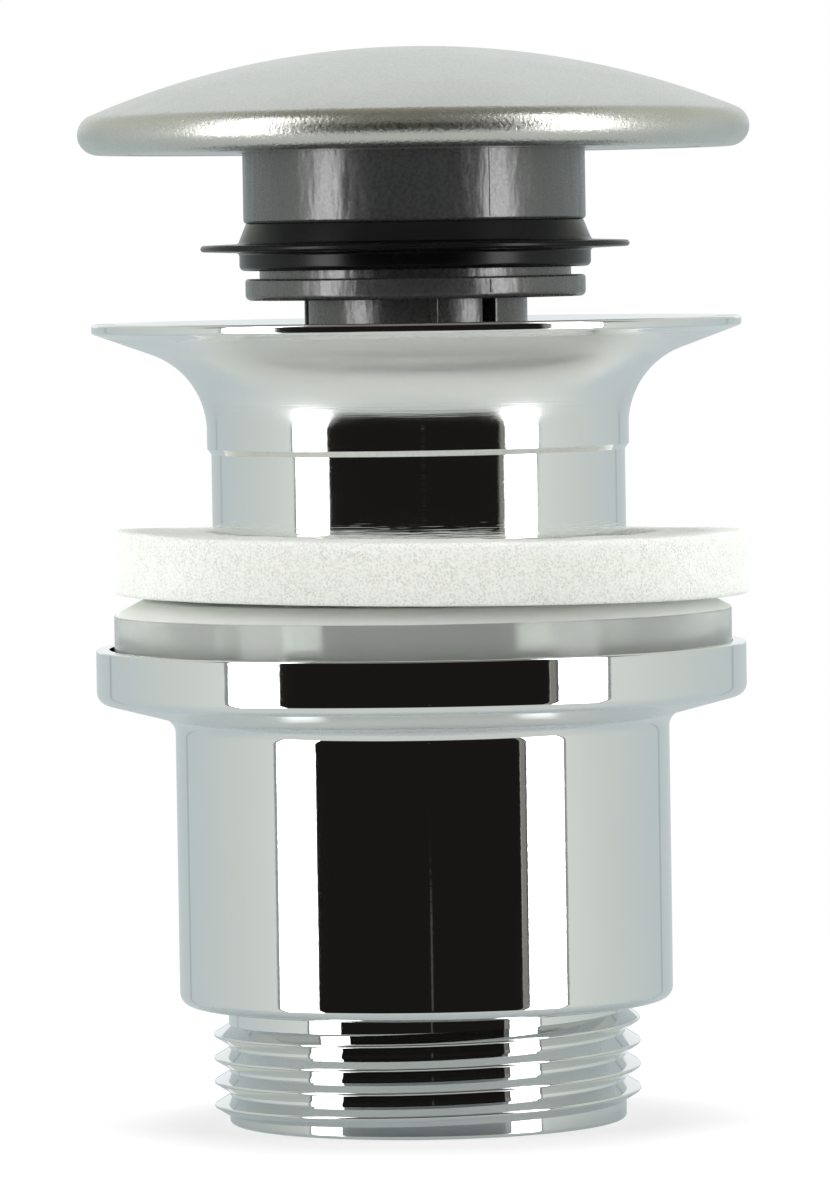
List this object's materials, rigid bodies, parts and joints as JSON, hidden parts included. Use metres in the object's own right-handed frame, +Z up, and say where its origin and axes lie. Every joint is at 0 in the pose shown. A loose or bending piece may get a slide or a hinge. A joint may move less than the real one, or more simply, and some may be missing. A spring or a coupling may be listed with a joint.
{
  "type": "pop up basin waste",
  "caption": "Click-clack washbasin waste: domed plug with lip seal over a flanged neck, foam and silicone gaskets, and a screwed tail with a threaded outlet.",
  "frame": {"origin": "on the axis at the outlet end, on which the waste stands", "axes": "+Z up along the axis from the outlet to the dome cap, -Y towards the viewer of the picture"},
  "size_m": [0.0656, 0.0656, 0.1052],
  "materials": {
    "satin_metal": "satin nickel on pressed sheet",
    "bright_steel": "bright stainless steel",
    "grey_plastic": "semi-gloss moulded ABS",
    "black_rubber": "satin black rubber",
    "white_acetal": "natural acetal",
    "blue_acetal": "coloured acetal",
    "chrome": "polished chrome plate",
    "white_foam": "closed-cell polyethylene foam",
    "clear_silicone": "translucent silicone rubber"
  },
  "bodies": {
    "tail": {"tail_body": "chrome"},
    "gaskets": {"cone_seal": "clear_silicone", "foam_washer": "white_foam"},
    "upper": {"flange_tube": "chrome", "mechanism_holder": "grey_plastic", "holder_washer": "bright_steel", "holder_screw": "bright_steel", "cartridge_housing": "white_acetal", "housing_cap": "white_acetal", "spring_seat": "white_acetal", "return_spring": "bright_steel"},
    "plug": {"dome_cap": "satin_metal", "cap_backplate": "bright_steel", "cap_stud": "bright_steel", "stud_nut": "bright_steel", "plug_body": "grey_plastic", "plug_seal": "black_rubber", "cam_plunger": "white_acetal"},
    "cam": {"cam_ring": "blue_acetal", "cam_pins": "bright_steel"}
  },
  "joints": [
    {"name": "clamp_turn", "type": "hinge", "parent": "tail", "child": "gaskets", "pos_m": [0, 0, 0.045], "axis": [0, 0, 1], "range_deg": [-1440, 1800]},
    {"name": "clamp_slide", "type": "slide", "parent": "gaskets", "child": "upper", "axis": [0, 0, 1], "range_m": [-0.008, 0.01]},
    {"name": "plug_press", "type": "slide", "parent": "upper", "child": "plug", "axis": [0, 0, 1], "range_m": [-0.0115, 0], "stiffness_N_per_m": 800, "springref_m": 0.012, "deforming": ["return_spring"]},
    {"name": "cam_turn", "type": "hinge", "parent": "upper", "child": "cam", "pos_m": [0, 0, 0.066], "axis": [0, 0, 1], "range_deg": [0, 30]}
  ],
  "couplings": [
    {"joint": "clamp_slide", "follows": "clamp_turn", "m_per_rad": 0.0003183},
    {"joint": "cam_turn", "follows": "plug_press", "rad_per_m": -45.53}
  ]
}
